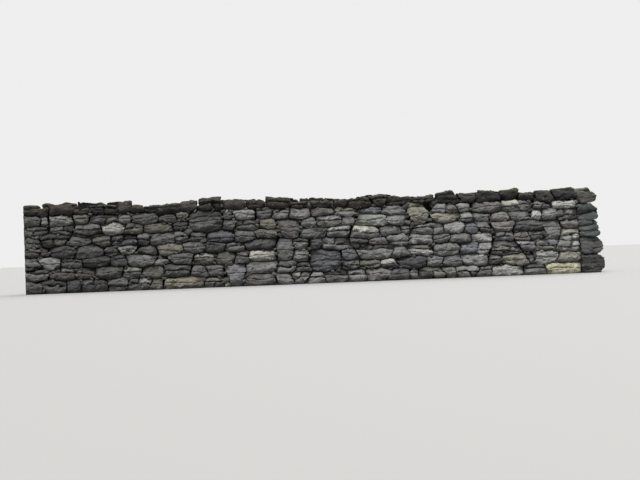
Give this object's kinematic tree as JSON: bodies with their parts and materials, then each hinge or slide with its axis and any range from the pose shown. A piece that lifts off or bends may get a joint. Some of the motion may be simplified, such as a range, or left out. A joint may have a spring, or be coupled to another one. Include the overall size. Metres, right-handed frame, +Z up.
{
  "type": "dry stone wall of quarried blocks",
  "caption": "Long free-standing dry stone wall of rough quarried blocks in uneven courses, with battered faces, a packed hearting, a stack of big boulders at its free end and a flush other end.",
  "frame": {"origin": "on the ground under the middle of the wall: middle of its length and of its thickness", "axes": "+X along the wall to the free end, -Y out of the front face, +Z up"},
  "size_m": [28.5964, 3.033, 4.3862],
  "materials": {
    "face_stone": "rough split rock, mostly grey with some buff and brown blocks",
    "end_stone": "rough split rock, darker grey",
    "crest_stone": "weathered rock, brownish and dark",
    "hearting_stone": "small broken stone"
  },
  "bodies": {
    "root": {"back_course_1": "face_stone", "back_course_2": "face_stone", "back_course_3": "face_stone", "back_course_4": "face_stone", "back_course_5": "face_stone", "back_course_6": "face_stone", "back_course_7": "face_stone", "back_course_8": "crest_stone", "front_course_1": "face_stone", "front_course_2": "face_stone", "front_course_3": "face_stone", "front_course_4": "face_stone", "front_course_5": "face_stone", "front_course_6": "face_stone", "front_course_7": "face_stone", "front_course_8": "crest_stone", "hearting": "hearting_stone", "left_end_course_1": "face_stone", "left_end_course_2": "face_stone", "left_end_course_3": "face_stone", "left_end_course_4": "face_stone", "left_end_course_5": "face_stone", "left_end_course_6": "face_stone", "right_end_course_1": "end_stone", "right_end_course_2": "end_stone", "right_end_course_3": "end_stone", "right_end_course_4": "end_stone", "right_end_course_5": "end_stone"}
  },
  "joints": []
}
